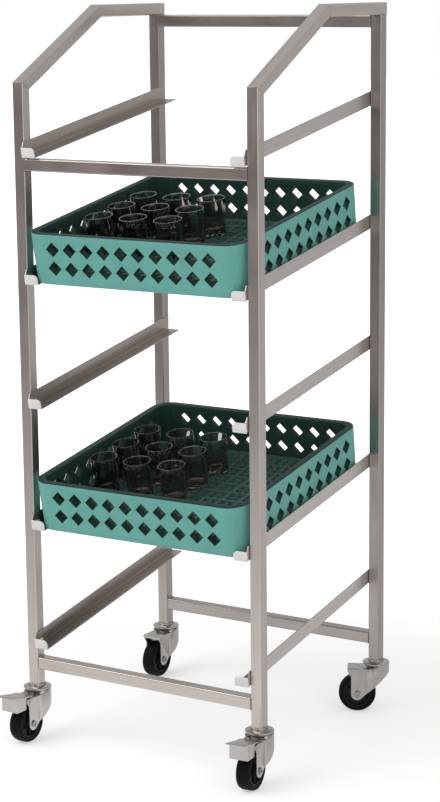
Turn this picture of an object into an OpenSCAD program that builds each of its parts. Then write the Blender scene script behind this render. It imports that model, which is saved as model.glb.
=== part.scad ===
// Glass rack dolly: a welded stainless frame on four swivel castors, with five pairs of
// sloping angle runners for dishwasher racks. Two racks with tumblers stand on the runners.
// Millimetres. The origin is on the floor, +X to the right, +Y to the rear, +Z up.
// The runners fall towards the front, where a stop at each runner's end holds the rack.

/* [Frame] */
// Side of the square tube
tube = 25; // [20:1:30]
// Wall of the square tube
tube_wall = 1.5; // [1:0.1:2.5]
// Outer radius of the square tube's corners
tube_radius = 3; // [2.6:0.1:5]
// Depth of the frame over its uprights
frame_depth = 520; // [490:1:600]
// Height of the sloping tube's lower corner above the top runner's front end
headroom = 148; // [110:1:220]
// Rise of the sloping tube
slope_rise = 147; // [80:1:220]
// Run of the sloping tube from front to rear
slope_run = 275; // [200:1:380]
// Height of the lower cross bars above the uprights' feet
low_bar_height = 35; // [10:1:50]
// Gap between the front upper bar and the runners above it
front_bar_gap = 2; // [1:0.5:10]

/* [Runners] */
// Slope of the runners in degrees, low at the front
tilt = 9.6; // [4:0.1:12]
// Height of the lowest runner's front end above the uprights' feet
lowest_runner = 83; // [70:1:120]
// Height from one runner to the next
pitch = 253.5; // [210:0.5:300]
// Thickness of the folded sheet
sheet = 2; // [1.5:0.1:3]
// Height of the runner's upright leg
runner_leg = 30; // [26:1:40]
// Width of the runner's shelf
runner_shelf = 31; // [26:1:40]
// Outer radius of the fold
fold_radius = 3; // [2.5:0.1:4]
// How far the runners stand out in front of the uprights
runner_overhang = 8; // [4:0.5:15]
// How far the runners end short of the uprights' rear faces
runner_setback = 8; // [2:0.5:15]
// Length of the sloping nose on the runner's leg
nose = 6; // [3:0.5:10]

/* [Stops] */
// Thickness of the stop's front plate
stop_plate = 3.5; // [2:0.5:5]
// Height of the stop
stop_height = 20; // [16:0.5:24]
// Radius of the stop's upper inner corner
stop_radius = 9; // [4:0.5:12]
// Thickness of the stop's side cheek
stop_cheek = 3.5; // [2:0.5:4.5]
// Length of the stop's side cheek
stop_cheek_length = 20; // [12:1:30]
// How far the cheek stays below the stop's top
stop_cheek_drop = 6; // [3:0.5:10]

/* [Racks] */
// Width of a rack, a standard dishwasher size
rack_width = 500; // [460:1:520]
// Depth of a rack
rack_depth = 500; // [440:1:510]
// Height of a rack
rack_height = 103; // [85:1:140]
// Gap between a rack and a runner's leg on each side
rack_side_gap = 5.5; // [5:0.5:8]
// Gap under a rack and between a rack and its stops
rack_rest = 0.3; // [0.2:0.1:0.8]
// Wall of a rack
rack_wall = 16.5; // [8:0.5:18]
// Depth of the ribs of a rack's floor
rack_floor = 12; // [6:0.5:16]
// Radius of a rack's upright corners at the rim
rack_corner = 42; // [34:1:50]
// How much each wall leans in from the rim to the base
rack_draft = 2.3; // [1:0.1:4]
// Spacing of the diamond holes and of the floor's cells
cell_pitch = 40.5; // [36:0.5:41]
// Width of a diamond hole
diamond_width = 32; // [20:0.5:34]
// Height of a diamond hole
diamond_height = 31; // [20:0.5:32]
// Height of the lower row of diamonds above the rack's base
diamond_base = 34; // [26:0.5:38]
// Height from the lower row of diamonds to the upper
diamond_rise = 39; // [34:0.5:42]
// Width of the floor's ribs
floor_rib = 7; // [4:0.5:12]

/* [Glasses] */
// Diameter of a tumbler's rim
glass_rim = 59; // [50:0.5:64]
// Diameter of a tumbler's base
glass_base = 50; // [40:0.5:56]
// Height of a tumbler
glass_height = 78; // [64:1:86]
// Wall of a tumbler
glass_wall = 2; // [1.5:0.1:3]
// Thickness of a tumbler's base
glass_foot = 9; // [5:0.5:14]
// Spacing of the tumblers
glass_pitch = 84; // [66:0.5:90]
// Gap between the first tumblers and the rack's side wall
glass_gap = 1; // [1:0.5:10]
// How far the middle row of tumblers stands behind the rack's centre
glass_back = 30; // [0:1:50]

/* [Castors] */
// Diameter of the wheel
wheel_diameter = 80; // [70:1:90]
// Width of the tyre
tyre_width = 28; // [22:0.5:30]
// Depth of the tyre's rubber
tyre_depth = 10.5; // [7:0.5:13]
// Length of the hub
hub_length = 34; // [31:0.5:40]
// Diameter of the axle bolt
axle_diameter = 8; // [6:0.5:10]
// How far the wheel trails behind the swivel axis
trail = 40; // [32:0.5:48]
// Diameter of the swivel head
head_diameter = 58; // [54:0.5:62]
// Depth of the swivel head below the upright's foot
head_depth = 20; // [18:0.5:24]
// Gap from the swivel head's underside to the tyre
wheel_gap = 15.5; // [12:0.5:24]
// Thickness of the fork's sheet
fork_sheet = 3; // [2:0.1:4]
// How far the fork's hood reaches past the axle
hood_reach = 21; // [17:0.5:26]
// Diameter of the swivel pin
king_pin = 12; // [10:0.5:16]
// Turn of the front left castor, as it stands
front_left_turn = -2; // [-4.5:0.5:4.5]
// Turn of the front right castor, as it stands
front_right_turn = 4.5; // [-4.5:0.5:4.5]
// Turn of the rear right castor, as it stands
rear_right_turn = -63; // [-180:1:180]

/* [Brakes] */
// How far the brake pedal reaches past the axle
pedal_reach = 70; // [62:0.5:76]
// Width of the brake pedal
pedal_width = 40.5; // [38:0.5:46]
// How far the box under the pedal's tread reaches past the axle
box_reach = 53; // [46:0.5:58]
// Depth of the box under the pedal's tread
box_depth = 25; // [16:0.5:28]
// How far the pedal's tread rises to its front edge with the brake off
pedal_rise = 12; // [6:0.5:14]
// Thickness of the pedal's sheet
pedal_sheet = 2.5; // [2:0.1:3.5]
// Diameter of the pedal's pivot pin
pedal_pin = 5; // [4:0.5:6]
// Gap between the brake shoe and the tyre with the brake off
shoe_gap = 3.4; // [3.2:0.1:5]

/* [Clearances] */
// Radial clearance of a shaft in its bore
running_fit = 0.05; // [0.02:0.01:0.1]
// Gap between faces that turn past each other
face_gap = 0.3; // [0.2:0.1:0.5]
// Play of the hub between the fork's cheeks, on each side
hub_play = 0.5; // [0.3:0.1:1]

/* [Hidden] */
$fn = 64;
// How far a cut runs past the face that it opens
past = 1;

LEVELS = [1, 2, 3, 4, 5];
SIDES = ["left", "right"];
CORNERS = ["lf", "rf", "lr", "rr"];
BRAKED = ["lf", "rf"];
RACK_LEVELS = [["upper", 2], ["lower", 4]];

// Frame, measured from the uprights' feet
frame_width = rack_width + 2 * (rack_side_gap + sheet + tube);
inner_half = frame_width / 2 - tube;
front_y = -frame_depth / 2;
rear_y = frame_depth / 2;
slope_angle = atan2(slope_rise, slope_run);
corner_height = level_height(1) + headroom;
frame_top = corner_height + slope_rise;
front_bar_top = level_height(1) - front_bar_gap;

// Runners
runner_front = front_y - runner_overhang;
runner_length = (frame_depth + runner_overhang - runner_setback) / cos(tilt);

// Castors, measured down from the uprights' feet
axle_drop = head_depth + wheel_gap + wheel_diameter / 2;
castor_height = axle_drop + wheel_diameter / 2;
head_radius = head_diameter / 2;
head_gap = 2.5;
rim_top = 6;
rim_bottom = 8;
bowl_foot = head_radius - 10.5;
flange_radius = head_radius - 12;
race_radius = flange_radius + 2;
fork_gap = hub_length + 2 * hub_play;
fork_width = fork_gap + 2 * fork_sheet;
hood_end = trail + hood_reach;
hood_top = head_depth - 2;
hood_lip = 6;
hood_overhang = 1.5;
strap_flare = 13;
shoulder = [-10, 16];
heel_drop = 6;
boss_radius = 13;
rivet_head = 11;
rivet_depth = 3;
rim_radius = wheel_diameter / 2 - tyre_depth;
rim_depth = 3;
rim_width = tyre_width - 2;
hub_core = axle_diameter / 2 + 7;
hub_web = 8;
tread_width = 12;
shoulder_radius = 16;
bolt_head = 14;
bolt_head_height = 3.5;
bolt_socket = 6;
socket_depth = 2.5;
nut_width = 13;
nut_height = 6;
thread_end = 1;
wheel_axis = [trail, -axle_drop];

// Brake pedals, in the castor's own side view
pedal_end = trail + pedal_reach;
pedal_pivot = [hood_end - 9, -hood_top - 7];
pedal_heel = pedal_pivot[0] - 8;
pedal_play = 0.5;
pedal_top = hood_top - 5;
pedal_bend = 3;
bend_place = hood_end + 3;
box_start = hood_end + 2;
ear_sheet = 2.5;
ear_radius = 6;
shoe_width = 22;
shoe_back = 4;
shoe_front = 11;

// The box of the whole dolly is centred over the origin: the front pedals reach further
// forward than the rear swivel heads reach back
y_mid = (max(front_reach(front_left_turn), front_reach(front_right_turn)) - head_radius) / 2;

NODES = concat(
    [for (side = SIDES, name = ["front_upright", "slope_tube", "top_rail", "rear_upright"])
        str(side, "_", name)],
    ["front_upper_bar", "front_lower_bar", "rear_top_bar", "rear_lower_bar"],
    [for (side = SIDES, level = LEVELS) str(side, "_runner_", level)],
    [for (side = SIDES, level = LEVELS) str(side, "_stop_", level)],
    [for (corner = CORNERS, name = ["stem", "fork", "axle", "hub", "tyre"])
        str("castor_", corner, "_", name)],
    [for (corner = BRAKED) str("brake_pedal_", corner)],
    [for (rack = RACK_LEVELS) str(rack[0], "_rack")],
    [for (rack = RACK_LEVELS) str(rack[0], "_glasses")]);
node = "all";

// Height of a runner's front end above the uprights' feet, level 1 at the top
function level_height(level) = lowest_runner + (len(LEVELS) - level) * pitch;

function is_left(corner) = corner == "lf" || corner == "lr";
function is_front(corner) = corner == "lf" || corner == "rf";
function turn(corner) =
    corner == "lf" ? front_left_turn : corner == "rf" ? front_right_turn : corner == "rr" ? rear_right_turn : 0;

// How far a front pedal reaches forward of its swivel axis
function front_reach(angle) = pedal_end * cos(angle) + pedal_width / 2 * sin(abs(angle));

// Height of the pedal's tread between its bend and its front edge
function tread_height(place) =
    pedal_bend - pedal_top + (pedal_rise - pedal_bend) * (place - bend_place) / (pedal_end - bend_place);

// Side view points, inset from the frame's outer outline
function lower_bend(inset) =
    [front_y + inset, corner_height - inset * tan((90 - slope_angle) / 2)];
function upper_bend(inset) =
    [front_y + slope_run + inset * tan(slope_angle / 2), frame_top - inset];
function along_slope(distance) = distance * [cos(slope_angle), sin(slope_angle)];

// The point where the tangent from a point touches a circle, on the side given by sign
function touch(point, centre, radius, sign) =
    let (away = point - centre, bearing = atan2(away[1], away[0]) + sign * acos(radius / norm(away)))
    centre + radius * [cos(bearing), sin(bearing)];

// Puts children in the frame's own axes, with the uprights' feet at height 0
module on_frame() translate([0, y_mid, castor_height]) children();

// Builds the right side as the left side's mirror image
module on_side(side) mirror([side == "right" ? 1 : 0, 0, 0]) children();

// Puts children on a runner's slope: X across, Y along the slope from the front end, Z square to it
module on_level(level)
    on_frame() translate([0, runner_front, level_height(level)]) rotate([tilt, 0, 0]) children();

// Puts children in a castor's axes, trailing towards -Y, with the upright's foot at height 0
module on_castor(corner)
    on_frame()
        translate([
            (is_left(corner) ? -1 : 1) * (frame_width - tube) / 2,
            (is_front(corner) ? -1 : 1) * (frame_depth - tube) / 2,
            0
        ])
            rotate(turn(corner)) children();

// A side view outline of Y and Z, as a slab centred on X
module slab(thickness) rotate([90, 0, 90]) linear_extrude(thickness, center = true) children();

// A castor's side view outline, with the trail to the right
module cheek_slab(thickness) slab(thickness) mirror([1, 0]) children();

// A square with round corners, centred
module rounded_square(side, radius) {
    half = side / 2 - radius;
    square([side, 2 * half], center = true);
    square([2 * half, side], center = true);
    for (x = [-half, half], y = [-half, half]) translate([x, y]) circle(radius);
}

// A length of the square tube along Z, closed at its far end where a wall is given
module tube_length(length, end_wall = 0) {
    bore_end = end_wall > 0 ? length - end_wall : length + past;
    difference() {
        linear_extrude(length) rounded_square(tube, tube_radius);
        translate([0, 0, -past]) linear_extrude(bore_end + past)
            rounded_square(tube - 2 * tube_wall, tube_radius - tube_wall);
    }
}

// A tube of the side frame: it starts at a point of its centre line in the side view, runs at an
// angle above the horizontal, and is cut to an outline that gives its mitres
module side_tube(side, outline, start, angle, length, end_wall = 0)
    color([0.74, 0.72, 0.70])
        on_frame() on_side(side) translate([(tube - frame_width) / 2, 0, 0])
            intersection() {
                slab(tube + 2 * past) polygon(outline);
                translate([0, start[0], start[1]]) rotate([angle - 90, 0, 0]) tube_length(length, end_wall);
            }

module front_upright(side)
    side_tube(side,
        [[front_y - past, 0], [front_y + tube + past, 0], lower_bend(tube + past), lower_bend(-past)],
        [front_y + tube / 2, -past], 90, corner_height + 2 * past);

module slope_tube(side)
    side_tube(side,
        [lower_bend(-past), lower_bend(tube + past), upper_bend(tube + past), upper_bend(-past)],
        lower_bend(tube / 2) - along_slope(tube), slope_angle,
        norm(upper_bend(tube / 2) - lower_bend(tube / 2)) + 2 * tube);

// The rail's rear end lies over the rear upright and is closed by a welded plate
module top_rail(side) {
    start_y = upper_bend(tube / 2)[0] - tube;
    side_tube(side,
        [upper_bend(-past), upper_bend(tube + past), [rear_y + past, frame_top - tube - past],
            [rear_y + past, frame_top + past]],
        [start_y, frame_top - tube / 2], 0, rear_y - start_y, tube_wall);
}

module rear_upright(side)
    side_tube(side,
        [[rear_y - tube - past, 0], [rear_y + past, 0], [rear_y + past, frame_top - tube],
            [rear_y - tube - past, frame_top - tube]],
        [rear_y - tube / 2, -past], 90, frame_top - tube + 2 * past);

// A bar between the uprights of one end, given its front face and its underside
module cross_bar(face_y, height)
    color([0.74, 0.72, 0.70])
        on_frame() translate([-inner_half, face_y + tube / 2, height + tube / 2]) rotate([0, 90, 0])
            tube_length(2 * inner_half);

// The section of a runner: X in from the upright, Y up
module runner_section() {
    inner_radius = fold_radius - sheet;
    difference() {
        union() {
            square([sheet, runner_leg]);
            square([runner_shelf, sheet]);
            square(sheet + inner_radius);
        }
        difference() {
            translate([-past, -past]) square(fold_radius + past);
            translate([fold_radius, fold_radius]) circle(fold_radius);
        }
        translate([fold_radius, fold_radius]) circle(inner_radius);
    }
}

module runner(side, level)
    color([0.78, 0.76, 0.73])
        on_level(level) on_side(side) translate([-inner_half, 0, 0])
            difference() {
                translate([0, runner_length, 0]) rotate([90, 0, 0])
                    linear_extrude(runner_length - stop_plate) runner_section();
                slab(4 * sheet)
                    polygon([[stop_plate - past, stop_height], [stop_plate, stop_height],
                        [stop_plate + nose, runner_leg], [stop_plate + nose, runner_leg + past],
                        [stop_plate - past, runner_leg + past]]);
            }

// A moulded stop: a plate that caps the runner's low end, with a cheek along its leg
module stop(side, level)
    color([0.93, 0.93, 0.92])
        on_level(level) on_side(side) translate([-inner_half, 0, 0]) {
            translate([0, stop_plate, 0]) rotate([90, 0, 0]) linear_extrude(stop_plate)
                union() {
                    square([runner_shelf - stop_radius, stop_height]);
                    square([runner_shelf, stop_height - stop_radius]);
                    translate([runner_shelf - stop_radius, stop_height - stop_radius])
                        circle(stop_radius);
                }
            translate([sheet, stop_plate - past, fold_radius])
                cube([stop_cheek, stop_cheek_length + past, stop_height - stop_cheek_drop - fold_radius]);
        }

// A block whose walls lean in towards its base, with round corners
module leaning_block(width, depth, height, corner_radius, lean) {
    half_x = width / 2 - corner_radius;
    half_y = depth / 2 - corner_radius;
    foot_radius = corner_radius - lean;
    rotate([90, 0, 0]) linear_extrude(2 * half_y, center = true)
        polygon([[-half_x - foot_radius, 0], [half_x + foot_radius, 0],
            [half_x + corner_radius, height], [-half_x - corner_radius, height]]);
    slab(2 * half_x)
        polygon([[-half_y - foot_radius, 0], [half_y + foot_radius, 0],
            [half_y + corner_radius, height], [-half_y - corner_radius, height]]);
    for (x = [-half_x, half_x], y = [-half_y, half_y])
        translate([x, y, 0]) cylinder(h = height, r1 = foot_radius, r2 = corner_radius);
}

// Two rows of diamonds across a rack's wall, centred on X
module diamonds() {
    count = floor((rack_width - 2 * rack_corner - diamond_width) / cell_pitch) + 1;
    for (column = [0 : count - 1], row = [0, 1])
        translate([(column - (count - 1) / 2) * cell_pitch, diamond_base + row * diamond_rise])
            polygon([[-diamond_width / 2, 0], [0, -diamond_height / 2],
                [diamond_width / 2, 0], [0, diamond_height / 2]]);
}

// The floor's square openings
module floor_cells() {
    inside = min(rack_width, rack_depth) - 2 * (rack_wall + rack_draft);
    count = floor((inside + floor_rib) / cell_pitch);
    for (column = [0 : count - 1], row = [0 : count - 1])
        translate([(column - (count - 1) / 2) * cell_pitch, (row - (count - 1) / 2) * cell_pitch])
            square(cell_pitch - floor_rib, center = true);
}

// Puts children at the centre of a rack's base
module in_rack(level)
    on_level(level)
        translate([0, stop_plate + rack_rest + rack_depth / 2, sheet + rack_rest]) children();

module rack(level)
    color([0.36, 0.64, 0.60])
        in_rack(level)
            difference() {
                leaning_block(rack_width, rack_depth, rack_height, rack_corner, rack_draft);
                translate([0, 0, rack_floor])
                    leaning_block(rack_width - 2 * rack_wall, rack_depth - 2 * rack_wall, rack_height,
                        rack_corner - rack_wall, rack_draft);
                rotate([90, 0, 0]) linear_extrude(rack_depth + 2 * past, center = true) diamonds();
                rotate([90, 0, 90]) linear_extrude(rack_width + 2 * past, center = true) diamonds();
                translate([0, 0, -past]) linear_extrude(rack_floor + 2 * past) floor_cells();
            }

module tumbler()
    rotate_extrude()
        polygon([[0, 0], [glass_base / 2, 0], [glass_rim / 2, glass_height],
            [glass_rim / 2 - glass_wall, glass_height], [glass_base / 2 - glass_wall, glass_foot],
            [0, glass_foot]]);

// Nine tumblers in the rack's rear left part
module glasses(level) {
    first_x = -rack_width / 2 + rack_wall + rack_draft + glass_gap + glass_rim / 2;
    color([0.75, 0.80, 0.82, 0.5])
        in_rack(level)
            for (column = [0 : 2], row = [-1 : 1])
                translate([first_x + column * glass_pitch, glass_back + row * glass_pitch, rack_floor])
                    tumbler();
}

// The fixed half of a castor: a plug in the upright's bore, a bearing flange and the swivel pin
module stem(corner) {
    plug = tube - 2 * tube_wall;
    plug_length = 40;
    flange_bottom = head_depth - fork_sheet - face_gap;
    color([0.62, 0.62, 0.63])
        on_castor(corner) {
            rotate(-turn(corner)) linear_extrude(plug_length) rounded_square(plug, tube_radius);
            translate([0, 0, -flange_bottom]) cylinder(h = flange_bottom, r = flange_radius);
            translate([0, 0, -head_depth - rivet_depth]) cylinder(h = head_depth, d = king_pin);
            translate([0, 0, -head_depth - face_gap - rivet_depth])
                cylinder(h = rivet_depth, r = rivet_head);
        }
}

// The swivel head's bowl, as a turned section of radius and height
module head_bowl()
    rotate_extrude()
        polygon([[0, -head_depth], [bowl_foot, -head_depth], [head_radius, -rim_bottom],
            [head_radius, -rim_top], [flange_radius, -head_gap], [0, -head_gap]]);

// The race inside the bowl, open at the top round the fixed flange
module head_race() {
    lip_radius = flange_radius + hub_play;
    lip_bottom = head_gap + fork_sheet;
    rotate_extrude()
        polygon([[0, past - head_gap], [lip_radius, past - head_gap], [lip_radius, -lip_bottom],
            [race_radius, -lip_bottom], [race_radius, fork_sheet - head_depth],
            [0, fork_sheet - head_depth]]);
}

// The fork's sheet seen from above: round behind the swivel axis, with two straight straps in front
module fork_plan(inset, front) {
    circle(head_radius - face_gap - inset);
    translate([inset - fork_width / 2, -front]) square([fork_width - 2 * inset, front]);
}

// The fork's outline in the side view: a shoulder that falls from the bowl to the hood, a strap down
// to the axle's boss, and a heel that sweeps back up from it
module fork_outline() {
    heel = -head_radius - past;
    strap_front = trail + boss_radius;
    lip_bottom = -hood_top - hood_lip;
    heel_low = [heel, -head_depth - heel_drop];
    polygon([[heel, -rim_bottom], [shoulder[0], -rim_bottom], [shoulder[1], -hood_top], [hood_end, -hood_top],
        [hood_end, lip_bottom], [strap_front, lip_bottom - strap_flare], [strap_front, -axle_drop],
        wheel_axis, touch(heel_low, wheel_axis, boss_radius, 1), heel_low]);
    translate(wheel_axis) circle(boss_radius);
}

// A pressed fork. A braked fork's hood is cut back to make room for the pedal
module fork(corner, braked) {
    hood_start = rivet_head + 2;
    hood_front = braked ? pedal_heel - 2 * pedal_play : hood_end;
    hood_width = fork_width + 2 * hood_overhang;
    color([0.80, 0.80, 0.80])
        on_castor(corner)
            difference() {
                union() {
                    head_bowl();
                    intersection() {
                        cheek_slab(2 * head_diameter) fork_outline();
                        translate([0, 0, -2 * axle_drop]) linear_extrude(2 * axle_drop)
                            difference() {
                                fork_plan(0, hood_end + past);
                                fork_plan(fork_sheet, hood_end + 2 * past);
                            }
                    }
                    translate([-hood_width / 2, -hood_front, -hood_top - fork_sheet])
                        cube([hood_width, hood_front - hood_start, fork_sheet]);
                    if (!braked)
                        translate([-hood_width / 2, -hood_end, -hood_top - hood_lip])
                            cube([hood_width, fork_sheet, hood_lip]);
                }
                head_race();
                translate([0, 0, -head_depth - past])
                    cylinder(h = head_depth, d = king_pin + 2 * running_fit);
                on_axis(wheel_axis)
                    cylinder(h = fork_width + 2 * past, d = axle_diameter + 2 * running_fit, center = true);
                if (braked)
                    on_axis(pedal_pivot)
                        cylinder(h = fork_width + 2 * past, d = pedal_pin + 2 * running_fit, center = true);
            }
}

// Puts children on a castor's cross axis, through a point of its side view
module on_axis(point) translate([0, -point[0], point[1]]) rotate([0, 90, 0]) children();

// The axle bolt: a low round head with a socket on the right, a nut on the left
module axle(corner) {
    nut_face = -fork_width / 2 - nut_height;
    head_face = fork_width / 2 + bolt_head_height;
    color([0.70, 0.70, 0.72])
        on_castor(corner) on_axis(wheel_axis)
            difference() {
                union() {
                    translate([0, 0, nut_face - thread_end])
                        cylinder(h = fork_width / 2 + thread_end - nut_face, d = axle_diameter);
                    translate([0, 0, nut_face]) cylinder(h = nut_height, d = nut_width / cos(30), $fn = 6);
                    translate([0, 0, fork_width / 2]) cylinder(h = bolt_head_height, d = bolt_head);
                }
                translate([0, 0, head_face - socket_depth])
                    cylinder(h = socket_depth + past, d = bolt_socket / cos(30), $fn = 6);
            }
}

module hub(corner)
    color([0.30, 0.30, 0.31])
        on_castor(corner) on_axis(wheel_axis)
            rotate_extrude()
                union() {
                    bore = axle_diameter / 2 + running_fit;
                    translate([bore, -hub_length / 2]) square([hub_core - bore, hub_length]);
                    translate([bore, -hub_web / 2]) square([rim_radius - bore, hub_web]);
                    translate([rim_radius - rim_depth, -rim_width / 2]) square([rim_depth, rim_width]);
                }

// A tyre with a flat tread and round shoulders
module tyre(corner)
    color([0.08, 0.08, 0.09])
        on_castor(corner) on_axis(wheel_axis)
            rotate_extrude() {
                outer = wheel_diameter / 2;
                intersection() {
                    translate([rim_radius + running_fit, -tyre_width / 2])
                        square([outer - rim_radius - running_fit, tyre_width]);
                    union() {
                        translate([0, -tread_width / 2]) square([outer, tread_width]);
                        for (side = [-1, 1])
                            translate([outer - shoulder_radius, side * tread_width / 2])
                                circle(shoulder_radius);
                    }
                }
            }

// A brake pedal: a bent tread plate over a box, two ears on a pivot pin, and a brake shoe
module brake_pedal(corner) {
    neck = fork_gap - 2 * pedal_play;
    box_end = trail + box_reach;
    heel = [pedal_heel, -pedal_top];
    bend = [bend_place, tread_height(bend_place)];
    tip = [pedal_end, tread_height(pedal_end)];
    down = [0, -pedal_sheet];
    box_bottom = -pedal_top - box_depth;
    box_top = tread_height(box_end) - pedal_sheet / 2;
    color([0.84, 0.84, 0.84])
        on_castor(corner) {
            cheek_slab(pedal_width) polygon([heel, bend, tip, tip + down, bend + down, heel + down]);
            for (x = [-1, 1])
                translate([x * (pedal_width - pedal_sheet) / 2, 0, 0])
                    cheek_slab(pedal_sheet)
                        polygon([[box_start, tread_height(box_start) - pedal_sheet / 2],
                            [box_end, box_top], [box_end, box_bottom], [box_start, box_bottom]]);
            cheek_slab(pedal_width)
                translate([box_end - pedal_sheet, box_bottom])
                    square([pedal_sheet, box_top - box_bottom]);
            for (x = [-1, 1])
                translate([x * (neck - ear_sheet) / 2, 0, 0])
                    cheek_slab(ear_sheet) {
                        translate([pedal_pivot[0] - ear_radius, pedal_pivot[1]])
                            square([2 * ear_radius, -pedal_top - pedal_pivot[1]]);
                        translate(pedal_pivot) circle(ear_radius);
                    }
            on_axis(pedal_pivot) cylinder(h = fork_width + 2 * past, d = pedal_pin, center = true);
            cheek_slab(shoe_width)
                difference() {
                    translate([pedal_pivot[0] + shoe_back, -axle_drop])
                        square([shoe_front - shoe_back, axle_drop - pedal_top + past]);
                    translate(wheel_axis) circle(wheel_diameter / 2 + shoe_gap);
                }
        }
}

function shown(name) = node == "all" || node == name;

for (side = SIDES) {
    if (shown(str(side, "_front_upright"))) front_upright(side);
    if (shown(str(side, "_slope_tube"))) slope_tube(side);
    if (shown(str(side, "_top_rail"))) top_rail(side);
    if (shown(str(side, "_rear_upright"))) rear_upright(side);
}
if (shown("front_upper_bar")) cross_bar(front_y, front_bar_top - tube);
if (shown("front_lower_bar")) cross_bar(front_y, low_bar_height);
if (shown("rear_top_bar")) cross_bar(rear_y - tube, frame_top - 2 * tube);
if (shown("rear_lower_bar")) cross_bar(rear_y - tube, low_bar_height);
for (side = SIDES, level = LEVELS) {
    if (shown(str(side, "_runner_", level))) runner(side, level);
    if (shown(str(side, "_stop_", level))) stop(side, level);
}
for (corner = CORNERS) {
    if (shown(str("castor_", corner, "_stem"))) stem(corner);
    if (shown(str("castor_", corner, "_fork"))) fork(corner, is_front(corner));
    if (shown(str("castor_", corner, "_axle"))) axle(corner);
    if (shown(str("castor_", corner, "_hub"))) hub(corner);
    if (shown(str("castor_", corner, "_tyre"))) tyre(corner);
}
for (corner = BRAKED)
    if (shown(str("brake_pedal_", corner))) brake_pedal(corner);
for (rack = RACK_LEVELS) {
    if (shown(str(rack[0], "_rack"))) rack(rack[1]);
    if (shown(str(rack[0], "_glasses"))) glasses(rack[1]);
}
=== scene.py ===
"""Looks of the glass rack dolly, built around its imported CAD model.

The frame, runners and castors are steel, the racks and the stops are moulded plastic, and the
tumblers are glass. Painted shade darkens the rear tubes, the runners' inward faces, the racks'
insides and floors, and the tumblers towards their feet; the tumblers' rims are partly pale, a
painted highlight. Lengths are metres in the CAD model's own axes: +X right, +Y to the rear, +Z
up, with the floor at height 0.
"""

import logging
import math
from dataclasses import dataclass
from enum import Enum, IntEnum
from typing import Any, Callable, Iterable, Sequence

import bmesh
import bpy
from mathutils import Matrix, Vector


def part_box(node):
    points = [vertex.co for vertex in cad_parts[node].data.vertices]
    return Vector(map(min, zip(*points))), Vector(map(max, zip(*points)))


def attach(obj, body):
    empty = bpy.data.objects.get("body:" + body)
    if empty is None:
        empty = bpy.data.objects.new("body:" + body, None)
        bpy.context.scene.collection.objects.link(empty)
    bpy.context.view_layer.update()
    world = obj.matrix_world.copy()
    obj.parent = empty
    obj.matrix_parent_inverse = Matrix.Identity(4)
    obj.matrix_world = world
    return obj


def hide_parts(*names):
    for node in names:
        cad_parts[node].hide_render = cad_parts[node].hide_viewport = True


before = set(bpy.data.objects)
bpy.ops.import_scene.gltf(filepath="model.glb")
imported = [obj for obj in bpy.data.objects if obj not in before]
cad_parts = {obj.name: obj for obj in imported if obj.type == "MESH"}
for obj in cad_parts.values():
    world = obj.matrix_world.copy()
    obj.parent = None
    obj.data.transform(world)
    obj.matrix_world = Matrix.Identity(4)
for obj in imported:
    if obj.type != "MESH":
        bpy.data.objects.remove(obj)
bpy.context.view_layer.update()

log = logging.getLogger("dolly")

Colour = tuple[float, float, float]
Point = tuple[float, float, float]
Profile = Sequence[tuple[float, float]]
Socket = bpy.types.NodeSocket
# A level at the start and at the end of a range, and the range's start and end
Fade = tuple[float, float, float, float]

MM = 0.001
WHITE = (1.0, 1.0, 1.0, 1.0)
# The frame's own origin: midway between the uprights, at the height of their feet
FRAME_ORIGIN = Vector((0.0, 41.125 * MM, 115.5 * MM))
# The angle at which the runners rise to the rear
TILT = math.radians(9.6)
# How far the sloping tubes go to the rear and up
SLOPE_RUN = 275 * MM
SLOPE_RISE = 147 * MM
SLOPE = math.atan2(SLOPE_RISE, SLOPE_RUN)
# Points nearer than this are one point, and faces nearer than this angle are one face
SAME_POINT = 2e-6
SAME_FACE = math.radians(0.3)
# A weld bead's change of radius, as a share, and the angle from one point to the next
RIPPLE_DEPTH = 0.14
RIPPLE_TURN = 2.1


class Side(Enum):
    """Side of the dolly, by the sign of X there."""

    LEFT = -1
    RIGHT = 1

    @property
    def label(self) -> str:
        """Give the side's name in the CAD model."""
        return self.name.lower()


class Corner(Enum):
    """Corner of the dolly, by its short name in the CAD model."""

    LEFT_FRONT = "lf"
    RIGHT_FRONT = "rf"
    LEFT_REAR = "lr"
    RIGHT_REAR = "rr"


class Grain(Enum):
    """Direction in which a surface was ground or moulded."""

    ACROSS = (1.0, 0.0, 0.0)
    DEPTH = (0.0, 1.0, 0.0)
    UP = (0.0, 0.0, 1.0)
    SLOPE = (0.0, math.cos(SLOPE), math.sin(SLOPE))
    RUNNER = (0.0, math.cos(TILT), math.sin(TILT))


class Join(Enum):
    """Way in which two values become one."""

    ADD = "ADD"
    SUBTRACT = "SUBTRACT"
    MULTIPLY = "MULTIPLY"
    MAXIMUM = "MAXIMUM"


class RackFace(IntEnum):
    """Part of a rack's surface, by the place of its finish; the inside and the floor take painted shade."""

    OUTSIDE = 0
    INSIDE = 1
    FLOOR = 2


# The way that each castor is turned in degrees, and the castors that have a brake pedal
CASTOR_TURNS = {
    Corner.LEFT_FRONT: -2.0,
    Corner.RIGHT_FRONT: 4.5,
    Corner.LEFT_REAR: 0.0,
    Corner.RIGHT_REAR: -63.0,
}
BRAKED = (Corner.LEFT_FRONT, Corner.RIGHT_FRONT)
# Each rack's name, its level counted from the top, and the clear share of its tumblers' rims; the rest of a
# rim is pale, a painted highlight
RACKS = (("upper", 2, 0.8), ("lower", 4, 0.92))


def srgb(red: int, green: int, blue: int) -> Colour:
    """Give a colour of display values as linear values.

    Args:
        red: The red value, 0 to 255.
        green: The green value.
        blue: The blue value.

    Returns:
        The linear colour.
    """

    def linear(value: int) -> float:
        """Give one channel's linear value."""
        share = value / 255
        return share / 12.92 if share <= 0.04045 else ((share + 0.055) / 1.055) ** 2.4

    return linear(red), linear(green), linear(blue)


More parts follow.
